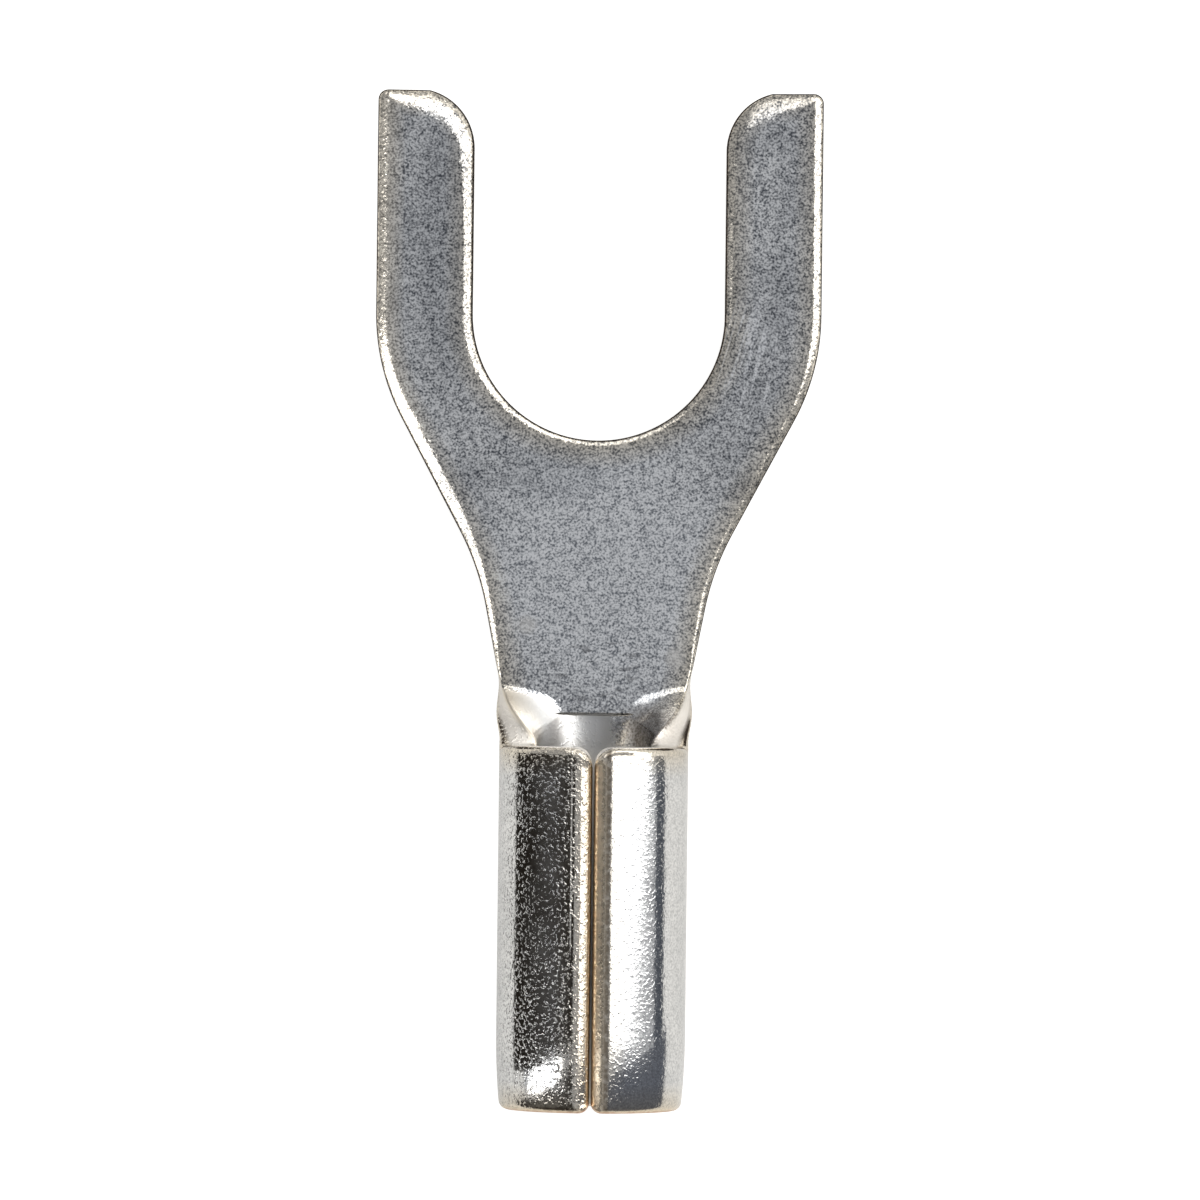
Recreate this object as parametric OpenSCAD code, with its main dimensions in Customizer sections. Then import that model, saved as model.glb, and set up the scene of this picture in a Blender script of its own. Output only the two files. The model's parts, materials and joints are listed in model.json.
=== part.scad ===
// Fork terminal with an open butt-seam barrel, stamped and rolled from one tin-plated copper sheet.
// Frame: +Y points along the prongs, +Z is up towards the seam, and the origin is the centre of the
// stud slot's round end, on the tongue's underside.

/* [Sheet] */
// Thickness of the sheet
sheet_t = 0.75; // [0.6:0.05:0.9]
// Radius of the roll-over along the upper cut edges
edge_roll = 0.34; // [0.2:0.02:0.4]
// Radius of the lower cut edges
burr_roll = 0.12; // [0.05:0.01:0.16]

/* [Fork] */
// Clear width between the prongs
slot_w = 5.1; // [4.3:0.1:6.5]
// Width of each prong
prong_w = 1.95; // [1.5:0.05:2.6]
// Length of the prongs beyond the stud centre
prong_len = 4.5; // [3.5:0.1:7]
// Radius of the inner corners of the prong tips
tip_inner_r = 1.2; // [0.6:0.05:1.4]
// Radius of the outer corners of the prong tips, seen from above
tip_corner_r = 0.2; // [0.1:0.05:0.35]
// Radius of the sheared roll-over across the prong tips
tip_roll = 0.45; // [0.3:0.05:0.5]

/* [Tongue] */
// Angle of the shoulder edges to the axis
shoulder_angle = 28; // [22:1:36]
// Angle of the neck edges to the axis
neck_taper = 11; // [6:1:14]
// Width of the neck where it starts to roll up
neck_w = 3.88; // [3.4:0.02:4.2]
// Distance from the stud centre to the end of the flat neck
neck_len = 7.35; // [6.8:0.05:9]
// Radius of the waist between shoulder and neck
waist_r = 5.5; // [2:0.5:6]

/* [Neck] */
// Length over which the neck rolls up to the barrel's mouth
roll_len = 1.36; // [1.1:0.02:2]
// Distance ahead of the flat neck's end at which the roll-up starts
roll_lead = 0.25; // [0.1:0.05:0.4]
// Height of the tongue's underside above the lowest line of the barrel
tongue_rise = 0.2; // [0.1:0.02:0.3]
// Distance from the barrel's mouth to the crease where the flat ends
crease_gap = 0.64; // [0.5:0.02:0.8]
// Length of the set-down on the lower face
set_run = 0.45; // [0.3:0.05:0.5]
// Angle from the barrel's lowest line to the neck's rim at the mouth
rim_angle = 98; // [85:1:110]

/* [Barrel] */
// Outside diameter of the barrel
barrel_d = 3.8; // [3.4:0.05:4.4]
// Length of the barrel from its mouth to its rear end
barrel_len = 7.3; // [5:0.1:9]
// Radius of the outer edge round the mouth
mouth_roll = 0.14; // [0.06:0.02:0.2]
// Radius of the wings' corners at the mouth
mouth_corner_r = 0.4; // [0.2:0.05:0.6]
// Radius of the outer edge round the rear end
rear_roll = 0.22; // [0.1:0.02:0.3]
// Amount by which the rear end is drawn in, on the radius
rear_draw = 0.06; // [0.02:0.01:0.1]
// Length over which the rear end is drawn in
rear_draw_len = 1; // [0.6:0.1:1.5]
// Radius of the wings' corners at the rear end
rear_corner_r = 0.2; // [0.1:0.05:0.35]
// Radius of the wire entry at the rear end of the bore
entry_roll = 0.15; // [0.08:0.01:0.2]

/* [Seam] */
// Gap between the butting edges of the two wings
seam_gap = 0.04; // [0.02:0.01:0.1]
// Radius of the rolled lips along the seam
lip_r = 0.27; // [0.15:0.01:0.3]

/* [Hidden] */
// True circles in plan and section
$fn = 96;

// Radii of the slot, the fork's outside and the barrel
slot_r = slot_w / 2;
fork_r = slot_r + prong_w;
outer_r = barrel_d / 2;
bore_r = outer_r - sheet_t;
mid_r = outer_r - sheet_t / 2;

// Heights of the barrel's axis, and places along the axis
axis_z = outer_r - tongue_rise;
neck_y = -neck_len;
roll_y = neck_y + roll_lead;
mouth_y = neck_y - roll_len;
crease_y = mouth_y + crease_gap;
rear_y = mouth_y - barrel_len;

// How the roll-up gains on its way to the mouth, as a power of the distance
roll_power = 2.1;
// Half width of the rolled neck along the middle of the sheet at the mouth
rim_w = mid_r * rim_angle * PI / 180;
// How far the neck reaches into the barrel's wall, and how far inside its faces it lies there
neck_lap = sheet_t / 3;
lap_inset = 0.016 * sheet_t;
// Height at which the neck's underside lies inside the flat tongue
lap_lift = sheet_t / 15;
// How far a cut runs past what it cuts
past = 2 / 3 * sheet_t;
// How far the arcs along an edge stand off the straight runs, so that the two cross at a clear angle
arc_off = 0.02 * sheet_t;
// Length by which the straight runs pass the shoulder's arc
shoulder_lap = fork_r * tan(shoulder_angle / 2);
// Angles by which the waist's arc and the arcs inside the prong tips run on at both ends
waist_lap = 8;
tip_lap = 5;
// How far the uncut sheet stands outside the tongue's edges, and how far out their cuts reach
spare = 0.4 * sheet_t;
reach = (fork_r + spare) / cos(shoulder_angle) - fork_r + spare;

// Steps across the neck's bend and its straight flank, round each edge, and along the neck
bend_steps = 8;
flank_steps = 4;
across = bend_steps + flank_steps;
round_steps = 4;
roll_steps = 24;
// How the steps along the neck crowd towards the mouth, as a power of the distance left
crowding = 1.4;
// Shares of the neck's half width between which the line from bend to flank is followed
bend_least = 0.2;
bend_most = 0.92;

// Corner where the shoulder line would meet the neck line, and the waist's tangent points
shoulder_x = fork_r * cos(shoulder_angle);
shoulder_y = -fork_r * sin(shoulder_angle);
waist_y = (neck_w / 2 - neck_y * tan(neck_taper) - shoulder_x + shoulder_y * tan(shoulder_angle))
    / (tan(shoulder_angle) - tan(neck_taper));
waist_run = waist_r * tan((shoulder_angle - neck_taper) / 2);
waist_top = waist_y + waist_run * cos(shoulder_angle);
waist_end = waist_y - waist_run * cos(neck_taper);
waist_cx = shoulder_x + (waist_top - shoulder_y) * tan(shoulder_angle) + waist_r * cos(shoulder_angle);
waist_cy = waist_top - waist_r * sin(shoulder_angle);
waist_x = neck_w / 2 + (waist_y - neck_y) * tan(neck_taper);

// How quickly the neck's edge flares into the wing
rim_flare = (rim_w - neck_w / 2 + roll_len * tan(neck_taper)) / pow(roll_len, 2);

// Half width of the neck's blank at a place along the axis, measured along the middle of the sheet
function half_width(y) =
    let (d = neck_y - max(y, mouth_y))
    neck_w / 2 - d * tan(neck_taper) + (d > 0 ? rim_flare * d * d : 0);

// Angle to which the sheet is rolled at a place along the axis: none on the flat tongue, the rim's angle
// at the mouth
function roll_angle(y) =
    rim_angle * pow(max(0, min(1, (roll_y - y) / (roll_y - mouth_y))), roll_power);

// Distance from the axis at which a face of the rolled sheet, of radius r, comes up to the flat tongue's
// face
function rise_x(r, angle) =
    r * (1 - cos(angle)) >= tongue_rise
        ? sqrt(r * r - pow(r - tongue_rise, 2))
        : r * sin(angle) + (tongue_rise - r * (1 - cos(angle))) / tan(angle);

// Half width of the flat tongue where the neck's flanks rise beside it, halfway through the sheet
function flat_half(y) =
    min(half_width(y) + past, (rise_x(bore_r, roll_angle(y)) + rise_x(outer_r, roll_angle(y))) / 2);

// Share of the set-down from the tongue's underside to the barrel's lowest line
function set_down(y) =
    max(0, min(1, (crease_y + set_run / 2 - y) / set_run));

// A point of the neck: s across from the axis, y along it, n up from the middle of the sheet.
// The sheet bends at the barrel's radius up to the roll angle and then runs on straight. Ahead of the
// crease its underside is lifted into the flat tongue.
function neck_point(s, y, n) =
    let (
        full = roll_angle(y),
        a = min(full, s / mid_r * 180 / PI),
        straight = max(0, s - mid_r * full * PI / 180),
        x = mid_r * sin(a) + straight * cos(a) - n * sin(a),
        z = axis_z - mid_r * cos(a) + straight * sin(a) + n * cos(a),
        lift = (tongue_rise + lap_lift) * (0.5 - n / sheet_t) * (1 - set_down(y))
    )
    [x, y, max(z, n + sheet_t / 2 - tongue_rise + lift)];

// Places across a face of half width w: even steps over the bend, then even steps over the straight flank
function face_places(w, y) =
    let (bend = max(bend_least * w, min(bend_most * w, mid_r * roll_angle(y) * PI / 180)))
    [
        for (i = [0 : bend_steps - 1])
            bend * i / bend_steps,
        for (i = [0 : flank_steps - 1])
            bend + (w - bend) * i / flank_steps
    ];

// Half of the neck's section, from the middle of the upper face round the cut edge to the middle of the
// lower face
function half_section(y) =
    let (
        inset = y <= mouth_y ? lap_inset : 0,
        w = half_width(y) - lap_inset,
        top = sheet_t / 2 - inset,
        low = -sheet_t / 2 + inset,
        upper = face_places(w - edge_roll, y),
        lower = face_places(w - burr_roll, y)
    )
    [
        for (place = upper)
            neck_point(place, y, top),
        for (i = [0 : round_steps])
            let (a = 90 - 90 * i / round_steps)
            neck_point(w - edge_roll + edge_roll * cos(a), y, top - edge_roll + edge_roll * sin(a)),
        for (i = [0 : round_steps])
            let (a = -90 * i / round_steps)
            neck_point(w - burr_roll + burr_roll * cos(a), y, low + burr_roll + burr_roll * sin(a)),
        for (i = [across - 1 : -1 : 0])
            neck_point(lower[i], y, low)
    ];

// The neck: a loft of sections from inside the flat tongue to inside the barrel's wall
module neck() {
    places = [
        for (i = [0 : roll_steps])
            mouth_y + (roll_y - mouth_y) * pow(1 - i / roll_steps, crowding),
        mouth_y - neck_lap
    ];
    half = 2 * (across + round_steps + 1);
    ring = 2 * half - 2;
    last = len(places) - 1;
    points = [
        for (y = places)
            let (h = half_section(y))
            for (k = [0 : ring - 1])
                k < half ? h[k] : [-h[ring - k][0], h[ring - k][1], h[ring - k][2]]
    ];
    walls = [
        for (j = [0 : last - 1])
            for (k = [0 : ring - 1])
                let (a = j * ring + k, b = j * ring + (k + 1) % ring)
                each [[a, b, b + ring], [a, b + ring, a + ring]]
    ];
    ends = [
        for (j = [0, last])
            for (k = [0 : half / 2 - 2])
                for (side = [0, 1])
                    let (
                        p = [k, k + 1, half - 2 - k, half - 1 - k],
                        q = [for (i = p) j * ring + (side == 0 ? i : (ring - i) % ring)],
                        turned = (j == 0) == (side == 0)
                    )
                    each turned
                        ? [[q[0], q[2], q[1]], [q[0], q[3], q[2]]]
                        : [[q[0], q[1], q[2]], [q[0], q[2], q[3]]]
    ];
    polyhedron(points, concat(walls, ends), convexity = 8);
}

// Outline of a rolled edge: the cut's side of an edge at x = 0 that opens by the edge radii at both faces
function edge_profile(out) = [
    [out, -past],
    [-burr_roll, -past],
    for (i = [round_steps : -1 : 0])
        let (a = -90 * i / round_steps)
        [-burr_roll + burr_roll * cos(a), burr_roll + burr_roll * sin(a)],
    for (i = [0 : round_steps])
        let (a = 90 * i / round_steps)
        [-edge_roll + edge_roll * cos(a), sheet_t - edge_roll + edge_roll * sin(a)],
    [-edge_roll, sheet_t + past],
    [out, sheet_t + past]
];

// The stud slot: a round end about the origin, straight sides, and prong tips rounded off inside
module stud_slot() {
    side = [for (p = edge_profile(slot_r)) [slot_r - p[0], p[1]]];
    tip_x = slot_r + tip_inner_r;
    // The tip's arc stands a little over the end of the prong, so that it leaves it at a corner
    tip_y = prong_len - tip_inner_r * cos(shoulder_angle / 2);
    tip_reach = 2 * tip_inner_r;
    rotate_extrude()
        polygon(side);
    translate([0, tip_y, 0])
        rotate([90, 0, 0])
            linear_extrude(tip_y)
                polygon(concat(side, [for (i = [len(side) - 1 : -1 : 0]) [-side[i][0], side[i][1]]]));
    for (x = [-1, 1])
        translate([x * tip_x, tip_y, 0])
            rotate_extrude(start = (x > 0 ? 90 : 0) - tip_lap, angle = 90 + 2 * tip_lap)
                polygon([for (p = edge_profile(tip_reach - tip_inner_r)) [tip_inner_r + p[0], p[1]]]);
    translate([-slot_r + edge_roll, tip_y, -past])
        cube([2 * (slot_r - edge_roll), prong_len - tip_y + past, sheet_t + 2 * past]);
}

// What lies outside the tongue's right edge: prong, shoulder arc, shoulder line, waist and neck
module right_edge() {
    section = edge_profile(reach);
    translate([fork_r, prong_len + past, 0])
        rotate([90, 0, 0])
            linear_extrude(prong_len + past + shoulder_lap)
                polygon(section);
    rotate_extrude(start = -shoulder_angle, angle = shoulder_angle)
        polygon([for (p = section) [fork_r + arc_off + p[0], p[1]]]);
    translate([shoulder_x, shoulder_y, 0])
        rotate([90, 0, -shoulder_angle])
            translate([0, 0, -shoulder_lap])
                linear_extrude((shoulder_y - waist_top) / cos(shoulder_angle) + shoulder_lap)
                    polygon(section);
    translate([waist_cx, waist_cy, 0])
        rotate_extrude(
            start = 180 - shoulder_angle - waist_lap,
            angle = shoulder_angle - neck_taper + 2 * waist_lap
        )
            polygon([for (p = section) [waist_r + arc_off - p[0], p[1]]]);
    translate([neck_w / 2 + (waist_end - neck_y) * tan(neck_taper), waist_end, 0])
        rotate([90, 0, -neck_taper])
            linear_extrude((waist_end - crease_y) / cos(neck_taper))
                polygon(section);
}

// What lies outside the prong tips: a sheared end, rolled over on top, with small outer corners
module tip_ends() {
    end = [
        [past, -past],
        [-burr_roll, -past],
        for (i = [round_steps : -1 : 0])
            let (a = -90 * i / round_steps)
            [-burr_roll + burr_roll * cos(a), burr_roll + burr_roll * sin(a)],
        for (i = [0 : round_steps])
            let (a = 90 * i / round_steps)
            [-tip_roll + tip_roll * cos(a), sheet_t - tip_roll + tip_roll * sin(a)],
        [-tip_roll, sheet_t + past],
        [past, sheet_t + past]
    ];
    corner = [
        for (i = [0 : round_steps])
            let (a = 90 * i / round_steps)
            [
                fork_r - tip_corner_r + tip_corner_r * cos(a),
                prong_len - tip_corner_r + tip_corner_r * sin(a)
            ],
        [fork_r - tip_corner_r, prong_len + past],
        [fork_r + past, prong_len + past],
        [fork_r + past, prong_len - tip_corner_r]
    ];
    translate([-fork_r - past, prong_len, 0])
        rotate([90, 0, 90])
            linear_extrude(2 * fork_r + 2 * past)
                polygon(end);
    for (x = [0, 1])
        mirror([x, 0, 0])
            translate([0, 0, -past])
                linear_extrude(sheet_t + 2 * past)
                    polygon(corner);
}

// The flat tongue: a sheet that ends in a tab between the neck's flanks, at the crease
module tongue() {
    tab_steps = 8;
    tab_y = roll_y + roll_lead;
    right = [
        [fork_r + spare, prong_len + spare],
        [fork_r + spare, shoulder_y],
        [waist_x + spare, waist_y],
        for (i = [0 : tab_steps])
            let (y = tab_y + (crease_y - tab_y) * i / tab_steps)
            [flat_half(y), y]
    ];
    difference() {
        linear_extrude(sheet_t)
            polygon(concat(right, [for (i = [len(right) - 1 : -1 : 0]) [-right[i][0], right[i][1]]]));
        stud_slot();
        tip_ends();
        for (x = [0, 1])
            mirror([x, 0, 0])
                right_edge();
    }
}

// Section of the barrel's wall as radius and distance from the mouth
function wall_section() =
    let (drawn_r = outer_r - rear_draw)
    [
        [bore_r, 0],
        [outer_r, 0],
        [outer_r, barrel_len - rear_draw_len],
        for (i = [0 : round_steps])
            let (a = 90 * i / round_steps)
            [drawn_r - rear_roll + rear_roll * cos(a), barrel_len - rear_roll + rear_roll * sin(a)],
        for (i = [0 : round_steps])
            let (a = 90 + 90 * i / round_steps)
            [bore_r + entry_roll + entry_roll * cos(a), barrel_len - entry_roll + entry_roll * sin(a)]
    ];

// Section of what the seam takes out of the top of the barrel: two rolled lips over a narrow gap
function seam_section() =
    let (
        right = [
            [seam_gap / 2, bore_r - past],
            for (i = [0 : round_steps])
                let (a = 180 - 90 * i / round_steps)
                [seam_gap / 2 + lip_r + lip_r * cos(a), outer_r - lip_r + lip_r * sin(a)],
            [seam_gap / 2 + lip_r, outer_r + past]
        ]
    )
    concat(right, [for (i = [len(right) - 1 : -1 : 0]) [-right[i][0], right[i][1]]]);

// What rounds off the two wings' corners at one end of the seam, seen from above
module seam_end(r) {
    right = [
        for (i = [0 : round_steps])
            let (a = 180 - 90 * i / round_steps)
            [seam_gap / 2 + r + r * cos(a), -r + r * sin(a)],
        [seam_gap / 2 + r, past]
    ];
    translate([0, 0, axis_z])
        linear_extrude(outer_r + past)
            polygon(concat(right, [for (i = [len(right) - 1 : -1 : 0]) [-right[i][0], right[i][1]]]));
}

// Section of what rounds the outer edge of the mouth
function mouth_section() = [
    [outer_r + past, mouth_roll],
    for (i = [0 : round_steps])
        let (a = -90 * i / round_steps)
        [outer_r - mouth_roll + mouth_roll * cos(a), mouth_roll + mouth_roll * sin(a)],
    [outer_r - mouth_roll, -past],
    [outer_r + past, -past]
];

// The crimp barrel: the sheet's two wings rolled to a tube, butting on top
module barrel() {
    rim_clear = 2;
    difference() {
        translate([0, mouth_y, axis_z])
            rotate([90, 0, 0])
                rotate_extrude()
                    polygon(wall_section());
        translate([0, mouth_y, axis_z])
            rotate([90, 0, 0])
                rotate_extrude(
                    start = rim_angle - 90 + rim_clear,
                    angle = 360 - 2 * rim_angle - 2 * rim_clear
                )
                    polygon(mouth_section());
        translate([0, mouth_y + past, axis_z])
            rotate([90, 0, 0])
                linear_extrude(barrel_len + 2 * past)
                    polygon(seam_section());
        translate([0, mouth_y, 0])
            seam_end(mouth_corner_r);
        translate([0, rear_y, 0])
            mirror([0, 1, 0])
                seam_end(rear_corner_r);
    }
}

// The whole stamping
module fork_terminal() {
    color("silver") {
        tongue();
        neck();
        barrel();
    }
}

fork_terminal();
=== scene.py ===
import json
import bmesh
import bpy
import numpy as np
from mathutils import Euler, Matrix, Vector


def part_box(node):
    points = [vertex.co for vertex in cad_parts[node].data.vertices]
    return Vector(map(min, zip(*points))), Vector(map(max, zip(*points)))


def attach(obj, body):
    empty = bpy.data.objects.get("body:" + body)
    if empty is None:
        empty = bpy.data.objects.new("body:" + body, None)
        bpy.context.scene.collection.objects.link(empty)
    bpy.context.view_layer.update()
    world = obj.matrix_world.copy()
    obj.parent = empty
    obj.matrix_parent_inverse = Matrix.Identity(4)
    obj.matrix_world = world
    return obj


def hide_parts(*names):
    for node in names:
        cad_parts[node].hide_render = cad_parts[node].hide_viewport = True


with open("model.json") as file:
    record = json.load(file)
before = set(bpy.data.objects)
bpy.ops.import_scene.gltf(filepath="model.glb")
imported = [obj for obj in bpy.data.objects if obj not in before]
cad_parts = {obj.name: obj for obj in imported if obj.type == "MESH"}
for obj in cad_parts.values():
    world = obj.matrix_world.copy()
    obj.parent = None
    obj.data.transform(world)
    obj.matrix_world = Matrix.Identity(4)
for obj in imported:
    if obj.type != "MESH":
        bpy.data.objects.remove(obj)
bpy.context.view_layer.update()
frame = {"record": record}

# The sheet and its blank. The terminal is one piece of soft copper sheet, punched out flat: a fork with a
# round-ended slot, a waisted neck, and a wide tail whose two wings become the barrel. Millimetres, with s
# across from the axis along the middle of the sheet, y along it, and the slot's round end about 0, 0.
mm = 0.001
mounts = {mount["name"]: mount for mount in frame["record"]["mounts"]}
lowest, highest = (np.array(corner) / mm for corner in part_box("fork_terminal"))
slot_r = mounts["stud_slot"]["dims"]["r_mm"]
bore_r = mounts["wire_barrel"]["dims"]["r_mm"]
axis_z = mounts["wire_barrel"]["pos_m"][2] / mm
fork_r = highest[0]
prong_end = highest[1]
rear_end = lowest[1]
outer_r = axis_z - lowest[2]
sheet = outer_r - bore_r
mid_r = (outer_r + bore_r) / 2
tongue_rise = -lowest[2]

tip_inner_r = 1.2
tip_outer_r = 0.2
shoulder = np.radians(28)
taper = np.radians(11)
neck_half = 1.94
neck_end = -7.35
waist_r = 5.5
mouth = -8.71
rim_angle = np.radians(98)
rim_half = mid_r * rim_angle
wing_half = np.pi * mid_r - 0.02
mouth_corner_r = 0.4
rear_corner_r = 0.2

shoulder_s = fork_r * np.cos(shoulder)
shoulder_y = -fork_r * np.sin(shoulder)
waist_y = (neck_half - neck_end * np.tan(taper) - shoulder_s + shoulder_y * np.tan(shoulder)) / (
    np.tan(shoulder) - np.tan(taper))
waist_run = waist_r * np.tan((shoulder - taper) / 2)
waist_top = waist_y + waist_run * np.cos(shoulder)
waist_low = waist_y - waist_run * np.cos(taper)
waist_cs = shoulder_s + (waist_top - shoulder_y) * np.tan(shoulder) + waist_r * np.cos(shoulder)
waist_cy = waist_top - waist_r * np.sin(shoulder)
rim_flare = (rim_half - neck_half + (neck_end - mouth) * np.tan(taper)) / (neck_end - mouth) ** 2


def leg(hypotenuse, other):
    """The other leg of a right triangle: the root of hypotenuse squared less leg squared, 0 past the end."""
    return np.sqrt(np.maximum(hypotenuse ** 2 - other ** 2, 0))


def outer_edge(y):
    """Half width of the blank at y. From the mouth up: a parabola that flares into the wing, the straight
    neck, the waist's arc, the straight shoulder, the arc about the slot's centre, the straight prong and the
    small arc at its tip."""
    below = neck_end - y
    tip_y = prong_end - tip_outer_r
    stretches = [
        (y < neck_end, neck_half - below * np.tan(taper) + rim_flare * below ** 2),
        (y < waist_low, neck_half - below * np.tan(taper)),
        (y < waist_top, waist_cs - leg(waist_r, y - waist_cy)),
        (y < shoulder_y, shoulder_s + (y - shoulder_y) * np.tan(shoulder)),
        (y < tip_y, leg(fork_r, np.minimum(y, 0))),
    ]
    corner = fork_r - tip_outer_r + leg(tip_outer_r, np.maximum(y - tip_y, 0))
    return np.select([where for where, _ in stretches], [half for _, half in stretches], corner)


def crowd_start(count):
    """Shares from 0 to 1, close together at 0: one less the cosine of a quarter turn in even steps."""
    return 1 - np.cos(np.linspace(0, np.pi / 2, count + 1))


def crowd_end(count):
    """Shares from 0 to 1, close together at 1: the sine of a quarter turn in even steps."""
    return np.sin(np.linspace(0, np.pi / 2, count + 1))


def crowd_both(count):
    """Shares from 0 to 1, close together at both ends: half of one less the cosine of a half turn."""
    return (1 - np.cos(np.linspace(0, np.pi, count + 1))) / 2


def stretch(shares, *ends):
    """Rows of the fork's grid: inner s, inner y and outer y, each run between its two ends by the shares."""
    return np.stack([low + shares * (high - low) for low, high in ends], axis=1)[1:]


# Rows of the fork's half grid, from the barrel's mouth to the prong's tip. The inner end of a row lies on the
# axis up to the slot, and then on the slot's edge; the outer end lies on the blank's outer edge.
crease = -8.07
slot_row_y = -4.6
tip_s = slot_r + tip_inner_r
tip_y = prong_end - tip_inner_r * np.cos(shoulder / 2)
turn = np.linspace(0, np.pi / 2, 45)[1:]
tip_rows = tip_y + crowd_end(34)[1:] * (prong_end - tip_y)
fork_rows = np.concatenate([
    [[0, mouth, mouth]],
    stretch(crowd_end(16), (0, 0), (mouth, crease), (mouth, crease)),
    stretch(crowd_start(22), (0, 0), (crease, neck_end), (crease, neck_end)),
    stretch(crowd_end(56), (0, 0), (neck_end, -slot_r), (neck_end, slot_row_y)),
    np.stack([slot_r * np.sin(turn), -slot_r * np.cos(turn), slot_row_y * (1 - turn / turn[-1])], axis=1),
    stretch(np.linspace(0, 1, 29), (slot_r, slot_r), (0, tip_y), (0, tip_y)),
    np.stack([tip_s - leg(tip_inner_r, tip_rows - tip_y), tip_rows, tip_rows], axis=1),
])
slot_row = 1 + 16 + 22 + 56 - 1
across = crowd_both(44)
inner_s, inner_y, outer_y = (column[:, None] for column in fork_rows.T)
fork_s = inner_s + across * (outer_edge(outer_y) - inner_s)
fork_y = inner_y + across * (outer_y - inner_y)

# Columns of the barrel's half grid: those of the neck run on to the rear end, and the wing adds its own from
# the rim to the seam. The wing's two corners are rounded off.
wing_columns = rim_half + crowd_both(34)[1:] * (wing_half - rim_half)
barrel_columns = np.concatenate([across * rim_half, wing_columns])
along = crowd_both(72)[:, None]
past_seam = barrel_columns - wing_half
high = mouth - mouth_corner_r + leg(mouth_corner_r, np.maximum(past_seam + mouth_corner_r, 0))
low = rear_end + rear_corner_r - leg(rear_corner_r, np.maximum(past_seam + rear_corner_r, 0))
barrel_s = np.broadcast_to(barrel_columns, (len(along), len(barrel_columns)))
barrel_y = low + along * (high - low)
rim_column = len(across) - 1

# The cut edges. The punch draws the sheet over along its upper edge into a broad crown with a small corner,
# widest along the left shoulder and at the prong tips, and leaves a small radius below. The rolling die
# rounds the barrel's ends and the lips along its seam. Each cut has a width on either face.
side = np.stack([fork_s[:, -1], fork_y[:, -1]], axis=1)
tip = np.stack([fork_s[-1, ::-1], fork_y[-1, ::-1]], axis=1)
slot = np.stack([fork_s[:slot_row - 1:-1, 0], fork_y[:slot_row - 1:-1, 0]], axis=1)
crown_tilt = np.radians(42)
crown_corner = 0.05
side_y = [mouth, -7.5, -6.7, -5.4, -4, -2.4, -0.8]
right_crown = np.interp(side[:, 1], side_y, [0.02, 0.03, 0.14, 0.16, 0.18, 0.2, 0.22])
left_crown = np.interp(side[:, 1], side_y, [0.02, 0.03, 0.18, 0.22, 0.4, 0.42, 0.34])
tip_crown = np.interp(tip[:, 0], [fork_r - 1.1, fork_r - 0.5, fork_r], [0.7, 0.42, 0.14])
slot_crown = np.interp(slot[:, 1], [-slot_r, -1, 2.2, tip_y, prong_end], [0.16, 0.24, 0.26, 0.36, 0.7])
burr = 0.12
entry_r, rear_r = 0.15, 0.16
lip_inner_r, lip_r = 0.03, 0.27
mouth_inner_r, mouth_r = 0.05, 0.14
rear = np.stack([barrel_s[0], barrel_y[0]], axis=1)
seam = np.stack([barrel_s[:, -1], barrel_y[:, -1]], axis=1)
rim = np.stack([barrel_s[-1, rim_column:], barrel_y[-1, rim_column:]], axis=1)
punched = np.concatenate([side, tip, slot])
right_crowns = np.concatenate([right_crown, tip_crown, slot_crown])
left_crowns = np.concatenate([left_crown, tip_crown, slot_crown])
cuts = {
    "rear": (rear, np.full(len(rear), entry_r), np.full(len(rear), rear_r)),
    "seam": (seam, np.full(len(seam), lip_inner_r), np.full(len(seam), lip_r)),
    "mouth": (rim, np.full(len(rim), mouth_inner_r), np.full(len(rim), mouth_r)),
    "right fork": (punched, right_crowns, np.full(len(punched), burr)),
    "left fork": (punched, left_crowns, np.full(len(punched), burr)),
}


def from_cut(path, s, y):
    """Distance of each point from a path, and the number of the path's nearest segment: the least, over all
    segments, of the distance to the foot of the perpendicular, with the foot kept between the ends."""
    run = np.diff(path, axis=0)
    offset = np.stack([s.ravel(), y.ravel()], axis=1)[:, None] - path[:-1]
    foot = np.clip((offset * run).sum(2) / np.maximum((run ** 2).sum(1), 1e-12), 0, 1)
    away = np.linalg.norm(offset - foot[..., None] * run, axis=2)
    nearest = away.argmin(1)
    return away.min(1).reshape(s.shape), nearest.reshape(s.shape)


def rolled_edge(s, y, face, other_fork="left fork"):
    """Depth by which the face has rolled away beside the cuts: at distance d from a cut, the radius less
    the other leg of a triangle with the radius as hypotenuse and width - d as leg. The radius is the width,
    or for a crown the width over the sine of its tilt, and a crown's corner is added. The deepest of all
    cuts counts, without the other half's fork."""
    depth = np.zeros_like(s)
    for name, (path, *widths) in cuts.items():
        if name == other_fork:
            continue
        away, nearest = from_cut(path, s, y)
        width = widths[face][nearest]
        crowned = "fork" in name and face == 0
        r = width / np.sin(crown_tilt) if crowned else width
        corner = crown_corner if crowned else 0
        drop = r - leg(r, np.maximum(width - away, 0)) + corner - leg(corner, np.maximum(corner - away, 0))
        depth = np.maximum(depth, drop)
    return depth


# Forming. The neck is rolled up towards the mouth, the wings are rolled round until they butt on top, and the
# tongue is set up by a short crease ahead of the mouth. The rear end is drawn in a little on the outside.
roll_start = -7.1
roll_power = 2.1
crease_soft = 0.035
fold_soft = 0.09
set_run = 0.45
rear_draw = 0.08
rear_draw_run = 1.5


def ease(share):
    """Smooth step from 0 to 1: three times the square less twice the cube."""
    share = np.clip(share, 0, 1)
    return share * share * (3 - 2 * share)


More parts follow.
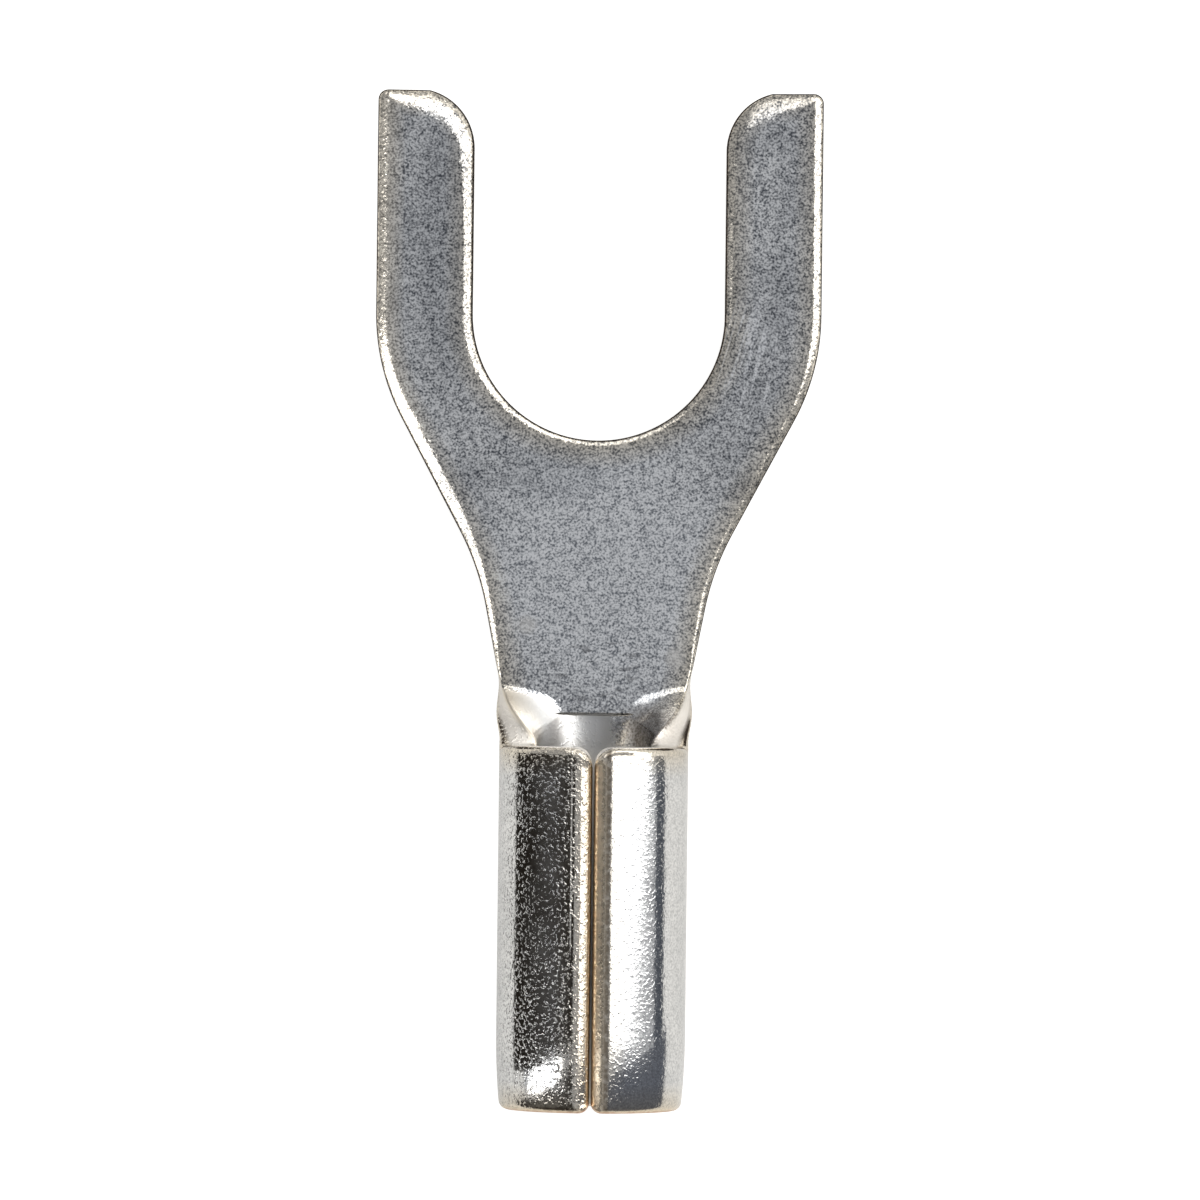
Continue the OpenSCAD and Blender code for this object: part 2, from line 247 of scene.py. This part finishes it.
def bent(s, n, roll):
    """Place across and height of a sheet bent at the barrel's radius up to the angle roll and straight from
    there on, at s along its middle and n off it."""
    angle = np.minimum(roll, s / mid_r)
    straight = np.maximum(s - mid_r * roll, 0)
    x = (mid_r - n) * np.sin(angle) + straight * np.cos(angle)
    z = axis_z - (mid_r - n) * np.cos(angle) + straight * np.sin(angle)
    return x, z


def fork_face(face, other_fork):
    """The fork's upper (0) or lower (1) face: the rolled neck, or the flat tongue where that lies higher
    ahead of the crease, with a soft fold between them: half the sum of the rise and the root of its square
    plus the fold's. Also the share of rolled neck at each point, from 0 to 1."""
    side = 1 - 2 * face
    n = side * (sheet / 2 - rolled_edge(fork_s, fork_y, face, other_fork))
    roll = rim_angle * np.clip((roll_start - fork_y) / (roll_start - mouth), 0, 1) ** roll_power
    x, z = bent(fork_s, n, roll)
    over = axis_z - mid_r + tongue_rise + n - z
    raised = (over + np.sqrt(over ** 2 + fold_soft ** 2) - fold_soft ** 2 / (2 * tongue_rise)) / 2
    run = (crease_soft, set_run)[face]
    flat = ease((fork_y - crease) / run + 0.5)
    rolled = np.maximum(ease(-over / fold_soft), 1 - flat)
    return np.stack([x, fork_y, z + np.maximum(raised, 0) * flat], axis=2), rolled


def barrel_face(face):
    """The barrel's inner (0) or outer (1) face: the sheet rolled right round, and outside drawn in at the
    rear by the square of the share of the run that is left."""
    side = 1 - 2 * face
    draw = face * rear_draw * np.clip(1 - (barrel_y - rear_end) / rear_draw_run, 0, 1) ** 2
    n = side * (sheet / 2 - rolled_edge(barrel_s, barrel_y, face) - draw)
    x, z = bent(barrel_s, n, np.pi)
    return np.stack([x, barrel_y, z], axis=2)


def wall(upper, lower, steps=4):
    """The cut wall between an edge of one face and the same edge of the other, in even steps."""
    share = np.linspace(0, 1, steps + 1)[:, None, None]
    return upper + share * (lower - upper)


def gap_to_cuts(s, y):
    """Distance of each point of the blank from the nearest cut."""
    return np.minimum.reduce([from_cut(path, s, y)[0] for path, *_ in cuts.values()])


# The skins: the two faces of the sheet, and the cut walls between them, for the right half and the left half.
# Each carries the distance to the nearest cut, how much copper shows through the tin there, whether it is a
# sheared wall, how far the rolling tool has burnished it smooth, and how strong its speckle is.
barrel_in, barrel_out = barrel_face(0), barrel_face(1)
fork_gap = gap_to_cuts(fork_s, fork_y)
barrel_gap = gap_to_cuts(barrel_s, barrel_y)
lip_bare = 0.7 * np.exp(-(from_cut(seam, barrel_s, barrel_y)[0] / 0.2) ** 4)
rear_bare = np.exp(-(from_cut(rear, barrel_s, barrel_y)[0] / 0.07) ** 2)
flank_worn = ease((fork_s - 0.35) / 0.4)
barrel_speckle = 0.3
wall_bare = 0.1
tip_bare = 0.2
lip_wall_bare = 0.6


def half_skins(other_fork, lip_share, flank_share):
    """The skins of one half, each a grid and its five numbers. The shares are those of bare copper along the
    seam and of burnish on the neck's flank."""
    (fork_up, rolled), (fork_down, rolled_below) = fork_face(0, other_fork), fork_face(1, other_fork)
    burnish = rolled * (1 - (1 - flank_share) * flank_worn)
    return [
        (fork_up, fork_gap, 0, 0, burnish, 1 - burnish),
        (fork_down, fork_gap, 0, 0, 0, 1 - (1 - barrel_speckle) * rolled_below),
        (barrel_in, barrel_gap, 0, 0, 1, 0),
        (barrel_out, barrel_gap, np.maximum(lip_share * lip_bare, rear_bare), 0, 0, barrel_speckle),
        (wall(barrel_in[0], barrel_out[0]), 0, 1, 1, 0, 0),
        (wall(barrel_in[:, -1], barrel_out[:, -1]), 0, lip_wall_bare * lip_share, 1, 0, 0),
        (wall(barrel_in[-1, rim_column:], barrel_out[-1, rim_column:]), 0, wall_bare, 1, 0, 0),
        (wall(fork_up[:, -1], fork_down[:, -1]), 0, wall_bare, 1, 0, 0),
        (wall(fork_up[slot_row:, 0], fork_down[slot_row:, 0]), 0, wall_bare, 1, 0, 0),
        (wall(fork_up[-1], fork_down[-1]), 0, tip_bare, 1, 0, 0),
    ]


def quads(rows, columns, first):
    """Corner numbers of a grid's faces, for a grid whose points are counted from first."""
    number = first + np.arange(rows * columns).reshape(rows, columns)
    corners = [number[:-1, :-1], number[:-1, 1:], number[1:, 1:], number[1:, :-1]]
    return np.stack(corners, axis=2).reshape(-1, 4)


points, corners, marks = [], [], []
count = 0
halves = ((1, half_skins("left fork", 1, 0.25)), (-1, half_skins("right fork", 0.3, 1)))
for mirrored, skins in halves:
    for grid, *values in skins:
        points.append((grid * [mirrored, 1, 1]).reshape(-1, 3))
        corners.append(quads(*grid.shape[:2], count))
        marks.append(np.stack([np.broadcast_to(value, grid.shape[:2]).ravel() for value in values], axis=1))
        count += grid.shape[0] * grid.shape[1]
merge_within = 1e-8
points, corners, marks = np.concatenate(points) * mm, np.concatenate(corners), np.concatenate(marks)
_, first, merged = np.unique(
    np.round(points / merge_within).astype(np.int64), axis=0, return_index=True, return_inverse=True)
points, corners, marks = points[first], merged.ravel()[corners], marks[first]

terminal_mesh = bpy.data.meshes.new("tinned_terminal")
terminal_mesh.from_pydata(points, [], corners.tolist())
for name, values in zip(("edge_gap", "bare_copper", "sheared", "burnished", "speckled"), marks.T):
    terminal_mesh.attributes.new(name, "FLOAT", "POINT").data.foreach_set("value", values.astype(np.float32))
shell = bmesh.new()
shell.from_mesh(terminal_mesh)
bmesh.ops.dissolve_degenerate(shell, dist=merge_within, edges=shell.edges)
bmesh.ops.recalc_face_normals(shell, faces=shell.faces)
shell.to_mesh(terminal_mesh)
shell.free()
terminal_mesh.polygons.foreach_set("use_smooth", np.ones(len(terminal_mesh.polygons), bool))
terminal = bpy.data.objects.new("tinned_terminal", terminal_mesh)
bpy.context.scene.collection.objects.link(terminal)
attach(terminal, "root")
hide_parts("fork_terminal")


# The plating. Tin is laid on the copper sheet as a thin satin coat with a fine grain, a little warm and thin
# towards the cut edges, where copper shows. Handling and the forming tools have left a few marks in it, and
# some darker patches and lines are painted shade and painted reflection.
def node(tree, kind, sockets, **settings):
    """A shader node: its settings by name, and its inputs by name or number, each a value or a socket to
    link."""
    made = tree.nodes.new("ShaderNode" + kind)
    for name, value in settings.items():
        setattr(made, name, value)
    for name, value in sockets.items():
        if isinstance(value, bpy.types.NodeSocket):
            tree.links.new(value, made.inputs[name])
        else:
            made.inputs[name].default_value = value
    return made


tin = bpy.data.materials.new("tin_plating")
tin.use_nodes = True
tin_tree = tin.node_tree
object_place = node(tin_tree, "TexCoord", {}).outputs["Object"]
place = node(tin_tree, "Mapping", {"Vector": object_place, "Scale": (1000, 1000, 1000)}).outputs[0]


def tin_noise(vector, scale, detail, roughness=0.5):
    """Cloudy noise over a place in millimetres, with scale in cells per millimetre."""
    sockets = {"Vector": vector, "Scale": scale, "Detail": detail, "Roughness": roughness}
    return node(tin_tree, "TexNoise", sockets).outputs[0]


def tin_range(value, low, high, to_low, to_high):
    """A value between low and high carried over to the range between to_low and to_high, and held there."""
    return node(tin_tree, "MapRange", {0: value, 1: low, 2: high, 3: to_low, 4: to_high}).outputs[0]


def tin_math(operation, first, second):
    """Two values joined by an operation such as MULTIPLY."""
    return node(tin_tree, "Math", {0: first, 1: second}, operation=operation).outputs[0]


def tin_mix(share, first, second, blend="MIX"):
    """The first colour, with a share of the second laid over it or blended with it."""
    sockets = {0: share, 6: first, 7: second}
    return node(tin_tree, "Mix", sockets, data_type="RGBA", blend_type=blend).outputs[2]


def tin_spot(centre, radii):
    """A soft spot in an ellipsoid: 1 well inside its radii about its centre, and 0 outside."""
    moved = node(tin_tree, "VectorMath", {0: place, 1: centre}, operation="SUBTRACT").outputs[0]
    scaled = node(tin_tree, "VectorMath", {0: moved, 1: radii}, operation="DIVIDE").outputs[0]
    away = node(tin_tree, "VectorMath", {0: scaled}, operation="LENGTH").outputs["Value"]
    return tin_range(away, 0.5, 1, 1, 0)


def tin_mark(name):
    """One of the numbers that the skins carry."""
    return node(tin_tree, "Attribute", {}, attribute_name=name).outputs["Fac"]


grain = tin_noise(place, 9, 2)
bead_place = node(tin_tree, "Mapping", {"Vector": place, "Location": (7, 3, 5)}).outputs[0]
beads = tin_range(tin_noise(bead_place, 15, 1), 0.53, 0.74, 0, 1)
pits = tin_math("MULTIPLY", tin_noise(place, 23, 1), 0.72)
speckle = tin_math("ADD", pits, tin_math("MULTIPLY", tin_noise(bead_place, 7, 2), 0.28))
drift = tin_noise(place, 0.9, 3, 0.6)
speckle_colours = node(tin_tree, "ValToRGB", {0: speckle})
ramp = speckle_colours.color_ramp
ramp.elements[0].position = 0.35
ramp.elements[0].color = (0.12, 0.13, 0.15, 1)
ramp.elements[1].position = 0.61
ramp.elements[1].color = (1, 1, 0.99, 1)
burnished = tin_mark("burnished")
burnished = tin_range(tin_math("ADD", burnished, tin_range(grain, 0.3, 0.7, -0.3, 0.3)), 0.25, 0.75, 0, 1)
sheared = tin_mark("sheared")
speckled = tin_mark("speckled")
bright_tin = (0.78, 0.77, 0.75, 1)
colour = tin_mix(speckled, bright_tin, speckle_colours.outputs[0])
dull_and_shade = tin_range(drift, 0.38, 0.68, 0, 0.8)
rubbed_bright = tin_spot((0.2, -5.2, 0.75), (3.2, 3.4, 0.6))
dull_and_shade = tin_math("MULTIPLY", dull_and_shade, tin_range(rubbed_bright, 0, 1, 1, 0.1))
# Painted shade: the patch on the left prong and the patch on the neck's floor darken the colour where shade
# and dark reflections fall; the drift is tone.
left_prong_painted_shade = tin_math("MULTIPLY", tin_spot((-3, 1.4, 0.75), (1.1, 4, 0.6)), 0.75)
slot_dull = tin_math("MULTIPLY", tin_spot((-0.9, -3.2, 0.75), (1.7, 0.8, 0.6)), 0.5)
floor_painted_shade = tin_math("MULTIPLY", tin_spot((0.1, -8.4, 0.6), (0.6, 0.6, 0.5)), 0.7)
dull_and_shade = tin_math("MULTIPLY", dull_and_shade, speckled)
for patch in (left_prong_painted_shade, slot_dull, floor_painted_shade):
    dull_and_shade = tin_math("MAXIMUM", dull_and_shade, patch)
dull_and_shade_tint = (0.6, 0.61, 0.63, 1)
colour = tin_mix(dull_and_shade, colour, dull_and_shade_tint, "MULTIPLY")
colour = tin_mix(tin_math("MULTIPLY", rubbed_bright, speckled), colour, (0.1, 0.105, 0.11, 1), "ADD")

edge_gap = tin_mark("edge_gap")
border = tin_math("MULTIPLY", tin_range(edge_gap, 0.1, 0.6, 0.9, 0), tin_range(sheared, 0, 1, 1, 0.25))
thin_tin_tint = (0.95, 0.86, 0.72, 1)
colour = tin_mix(border, colour, thin_tin_tint, "MULTIPLY")
across_place = node(tin_tree, "SeparateXYZ", {0: place}).outputs[0]
# A lighter, warmer band just inside the cut edges on the left side.
left_side = tin_range(across_place, -3.7, -3.2, 1, 0)
left_edge_light_band = tin_math("MULTIPLY", tin_range(edge_gap, 0.25, 0.55, 1, 0), left_side)
colour = tin_mix(left_edge_light_band, colour, (0.16, 0.14, 0.11, 1), "ADD")

# Fold wrinkles ahead of the neck: their bumps are real, and their darker colour is painted shade in the
# creases.
fold_place = node(tin_tree, "Mapping", {"Vector": place, "Scale": (1.5, 5, 1)}).outputs[0]
folds_and_shade = tin_range(tin_noise(fold_place, 1.3, 3, 0.6), 0.56, 0.64, 0, 0.75)
folds_and_shade = tin_math("MULTIPLY", folds_and_shade, tin_spot((0.1, -7.2, 0.75), (1.3, 0.9, 0.4)))
colour = tin_mix(folds_and_shade, colour, (0.3, 0.3, 0.31, 1), "MULTIPLY")

scratch_turn = {"Vector": place, "Rotation": (0, 0, np.radians(-16)), "Scale": (0.055, 1.6, 1)}
scratch_place = node(tin_tree, "Mapping", scratch_turn, vector_type="TEXTURE").outputs[0]
scratches = tin_range(tin_noise(scratch_place, 1, 1), 0.56, 0.62, 0, 1)
scratches = tin_math("MULTIPLY", scratches, tin_spot((3, -0.9, 0.75), (0.8, 1.6, 0.4)))
left_rub = tin_spot((-1.39, -6.29, 0.75), (0.26, 0.24, 0.4))
right_rub = tin_spot((1.61, -6.92, 0.75), (0.26, 0.26, 0.4))
rubs = tin_math("MULTIPLY", tin_math("MAXIMUM", left_rub, right_rub), 0.5)
rubbed_tin = (0.88, 0.85, 0.8, 1)
colour = tin_mix(rubs, colour, rubbed_tin)
colour = tin_mix(scratches, colour, (0.25, 0.25, 0.25, 1), "ADD")

# Painted reflection: a dark line beside the seam's right lip, where the lip's curve would mirror the dark
# left side.
beside_lip = tin_math("ABSOLUTE", tin_math("SUBTRACT", across_place, 0.31), 0)
lip_painted_dark_line = tin_math("MULTIPLY", tin_range(beside_lip, 0.03, 0.08, 1, 0), tin_range(grain, 0.35, 0.55, 0.4, 1))
lip_painted_dark_line = tin_math("MULTIPLY", lip_painted_dark_line, tin_spot((0.3, -12.4, 3.5), (1.5, 7, 1)))
colour = tin_mix(lip_painted_dark_line, colour, (0.3, 0.28, 0.26, 1), "MULTIPLY")

# Painted reflection: the right flank by the crease is darkened to a dark brown, standing in for the dark
# surroundings it mirrors.
flank_painted_dark = tin_math("MULTIPLY", tin_spot((1.12, -8.4, 1.2), (0.8, 0.65, 1.2)), 0.95)
flank_dark_brown = (0.2, 0.16, 0.12, 1)
colour = tin_mix(flank_painted_dark, colour, tin_mix(0.3, flank_dark_brown, speckle_colours.outputs[0]))
sheared_tin = (0.9, 0.87, 0.82, 1)
colour = tin_mix(tin_math("MULTIPLY", sheared, 0.35), colour, sheared_tin)

bare = tin_math("MULTIPLY", tin_mark("bare_copper"), tin_range(grain, 0.3, 0.6, 0.65, 0.9))
copper_under_tin = (0.93, 0.74, 0.5, 1)
raw_copper = (0.6, 0.33, 0.2, 1)
copper = tin_mix(tin_range(bare, 0.5, 0.85, 0, 1), copper_under_tin, raw_copper)
colour = tin_mix(bare, colour, copper)

roughness = tin_range(drift, 0.3, 0.7, 0.13, 0.2)
roughness = tin_math("ADD", roughness, tin_range(speckled, 0.3, 1, -0.05, 0))
roughness = tin_math("ADD", roughness, tin_math("MULTIPLY", bare, 0.35))
roughness = tin_math("ADD", roughness, tin_math("MULTIPLY", burnished, 0.2))
roughness = tin_math("ADD", roughness, tin_math("MULTIPLY", sheared, 0.45))

shader = tin_tree.nodes["Principled BSDF"]
shader.inputs["Metallic"].default_value = 1
tin_tree.links.new(colour, shader.inputs["Base Color"])
tin_tree.links.new(roughness, shader.inputs["Roughness"])

grain_height = 0.000006
bead_height = 0.000011
fold_depth = 0.000003
line_height = 0.00001
rough_share = tin_range(burnished, 0, 1, 1, 0.2)
die_polish = tin_spot((-0.88, -15.6, 3), (0.8, 0.8, 1.4))
rough_share = tin_math("MULTIPLY", rough_share, tin_range(die_polish, 0, 1, 1, 0.25))
barrel_grain = tin_range(across_place, -0.2, 0.3, 0.4, 0.25)
grain_share = tin_math("MAXIMUM", barrel_grain, tin_range(speckled, 0.4, 1, 0, 1))
grain_share = tin_math("MULTIPLY", rough_share, grain_share)
grain_sockets = {"Strength": grain_share, "Distance": grain_height, "Height": grain}
grain_bump = node(tin_tree, "Bump", grain_sockets)
bead_share = tin_math("MULTIPLY", rough_share, tin_range(speckled, 0.3, 1, 1, 0.2))
bead_share = tin_math("MULTIPLY", bead_share, tin_range(across_place, -0.2, 0.3, 1, 0.15))
bead_bump = node(
    tin_tree, "Bump",
    {"Strength": bead_share, "Distance": bead_height, "Height": beads, "Normal": grain_bump.outputs[0]})
fold_bump = node(
    tin_tree, "Bump",
    {"Strength": 1, "Distance": fold_depth, "Height": folds_and_shade, "Normal": bead_bump.outputs[0]}, invert=True)
beside_line = tin_math("ABSOLUTE", tin_math("ADD", across_place, 0.44), 0)
draw_line = tin_math("MULTIPLY", tin_range(beside_line, 0, 0.03, 1, 0), tin_range(grain, 0.35, 0.55, 0.3, 1))
draw_line = tin_math("MULTIPLY", draw_line, tin_spot((-0.44, -10.9, 3.5), (0.4, 2.2, 0.6)))
line_bump = node(
    tin_tree, "Bump",
    {"Strength": 1, "Distance": line_height, "Height": draw_line, "Normal": fold_bump.outputs[0]})
tin_tree.links.new(line_bump.outputs[0], shader.inputs["Normal"])
terminal_mesh.materials.append(tin)


# The table: a plain matt top that the terminal's barrel lies on. It is white to the camera and keeps the
# terminal's faint shadow, and the metal mirrors it a little greyer.
floor_half = 0.6
floor_z = lowest[2] * mm - 2e-6
floor_corners = [(x * floor_half, y * floor_half, floor_z) for x, y in ((-1, -1), (1, -1), (1, 1), (-1, 1))]
floor_mesh = bpy.data.meshes.new("table")
floor_mesh.from_pydata(floor_corners, [], [(0, 1, 2, 3)])
floor = bpy.data.objects.new("table", floor_mesh)
bpy.context.scene.collection.objects.link(floor)
white = bpy.data.materials.new("white_table")
white.use_nodes = True
white_tree = white.node_tree
white_tree.nodes.remove(white_tree.nodes["Principled BSDF"])
ray = node(white_tree, "LightPath", {})
mirrored_ray = node(
    white_tree, "Math", {0: ray.outputs["Is Glossy Ray"], 1: ray.outputs["Is Transmission Ray"]},
    operation="MAXIMUM")
mirrored_level = node(white_tree, "Math", {0: mirrored_ray.outputs[0], 1: 0.3}, operation="MULTIPLY")
seen_level = node(white_tree, "Math", {0: ray.outputs["Is Camera Ray"], 1: 0.75}, operation="MULTIPLY")
level = node(white_tree, "Math", {0: seen_level.outputs[0], 1: mirrored_level.outputs[0]}, operation="ADD")
glow = node(white_tree, "Emission", {"Color": (1, 1, 1, 1), "Strength": level.outputs[0]})
matt = node(white_tree, "BsdfDiffuse", {"Color": (0.48, 0.47, 0.445, 1)})
both = node(white_tree, "AddShader", {0: matt.outputs[0], 1: glow.outputs[0]})
white_tree.links.new(both.outputs[0], white_tree.nodes["Material Output"].inputs["Surface"])
floor_mesh.materials.append(white)

# The studio: a grey room, a large softbox on the right, and smaller ones beyond the prongs and at the lower
# left. Only the metal mirrors its cards: black on the left with a slit in it, slate, white and grey on the
# right, a grey flag above the neck, and a dark card under the fork that is a painted contact shadow.
world = bpy.data.worlds.new("grey_room")
world.use_nodes = True
room_grey = (0.43, 0.44, 0.46)
world.node_tree.nodes["Background"].inputs["Color"].default_value = (*room_grey, 1)
world.node_tree.nodes["Background"].inputs["Strength"].default_value = 1
bpy.context.scene.world = world


def softbox(name, bearing, lean, tall, wide, level, shift=0, spin=0, reach=0.3):
    """A flat lamp aimed at the neck: bearing turns from +X towards +Y, lean is its angle from straight up,
    tall and wide are the angles it covers, level is its brightness as a mirror shows it, shift moves it along
    +Y, and spin turns it in its own plane."""
    lamp = bpy.data.lights.new(name, "AREA")
    lamp.shape = "RECTANGLE"
    lamp.size = 2 * reach * np.tan(np.radians(tall / 2))
    lamp.size_y = 2 * reach * np.tan(np.radians(wide / 2))
    lamp.energy = level * np.pi * lamp.size * lamp.size_y
    box = bpy.data.objects.new(name, lamp)
    turn_to, tilt = np.radians(bearing), np.radians(lean)
    towards = Vector((np.cos(turn_to) * np.sin(tilt), np.sin(turn_to) * np.sin(tilt), np.cos(tilt)))
    box.location = Vector((0, shift - 0.0065, 0)) + towards * reach
    aimed = Euler((0, tilt, turn_to)).to_matrix() @ Euler((0, 0, np.radians(spin))).to_matrix()
    box.rotation_euler = aimed.to_euler()
    bpy.context.scene.collection.objects.link(box)


softbox("right_softbox", 0, 47.5, 61, 76, 2.8, shift=0.215, spin=6)
softbox("far_softbox", 90, 50, 40, 50, 1.2)
softbox("near_left_softbox", 206, 60, 50, 34, 3)


def mirror_card(name, corners, faces, colour):
    """A card that is seen only by the metal's mirroring, at the colour given."""
    card_mesh = bpy.data.meshes.new(name)
    card_mesh.from_pydata(corners, [], faces)
    card = bpy.data.objects.new(name, card_mesh)
    bpy.context.scene.collection.objects.link(card)
    card.visible_camera = False
    card.visible_diffuse = False
    card.visible_shadow = False
    paper = bpy.data.materials.new(name)
    paper.use_nodes = True
    paper_glow = node(paper.node_tree, "Emission", {"Color": (*colour, 1)})
    surface = paper.node_tree.nodes["Material Output"].inputs["Surface"]
    paper.node_tree.links.new(paper_glow.outputs[0], surface)
    card_mesh.materials.append(paper)


card_z = floor_z + 0.00005
mirror_card(
    "black_card",
    [(-0.005, y, z) for y in (-0.045, -0.01638, -0.01562, -0.0083) for z in (0.0016, 0.02)],
    [(0, 1, 3, 2), (4, 5, 7, 6)], (0.016, 0.013, 0.01))
mirror_card(
    "slate_card",
    [(0.006, y, z) for y, z in ((-0.0145, 0.0016), (-0.0182, 0.02), (-0.045, 0.02), (-0.045, 0.0016))],
    [(0, 1, 2, 3)], (0.12, 0.13, 0.155))
mirror_card(
    "white_card",
    [(x, y, z) for x, y in ((0.003, 0.024), (0.026, 0.004), (0.026, -0.0087)) for z in (card_z, 0.01)],
    [(0, 1, 3, 2), (2, 3, 5, 4)], (1, 1, 0.99))
mirror_card(
    "grey_card",
    [(x, y, z) for x, z in ((0.022, 0.0055), (0.022, card_z), (0.4, card_z)) for y in (-0.25, -0.0089)],
    [(0, 1, 3, 2), (2, 3, 5, 4)], (0.09, 0.10, 0.12))
mirror_card(
    "grey_flag",
    [(x, y, 0.006) for x in (0.001, 0.0042) for y in (-0.0086, -0.0055)],
    [(0, 2, 3, 1)], room_grey)
# Painted shadow: a dark card round the fork at the table, seen only in the metal's mirroring, stands in for
# the fork's contact shadow.
contact_shadow_edge = ((0.0065, 0.0065), (0.0065, -0.0045), (0.0028, -0.0072))
mirror_card(
    "contact_shadow_card",
    [(half * x, y, card_z) for half in (-1, 1) for x, y in contact_shadow_edge],
    [(0, 1, 2, 5, 4, 3)], (0.06, 0.05, 0.045))

# The camera: a long lens far above the table that looks straight down, with the fork pointing up the picture
# and leaning a little.
frame_wide = 0.0242
middle = (0.00009, -0.00577)
camera_data = bpy.data.cameras.new("camera")
camera_data.lens = 300
camera_data.sensor_width = 36
camera_data.clip_start = 0.01
camera_data.clip_end = 10
camera = bpy.data.objects.new("camera", camera_data)
camera.location = (*middle, frame_wide * camera_data.lens / camera_data.sensor_width + 0.001)
camera.rotation_euler = (0, 0, np.radians(0.65))
bpy.context.scene.collection.objects.link(camera)
bpy.context.scene.camera = camera
bpy.context.scene.view_settings.view_transform = "Standard"
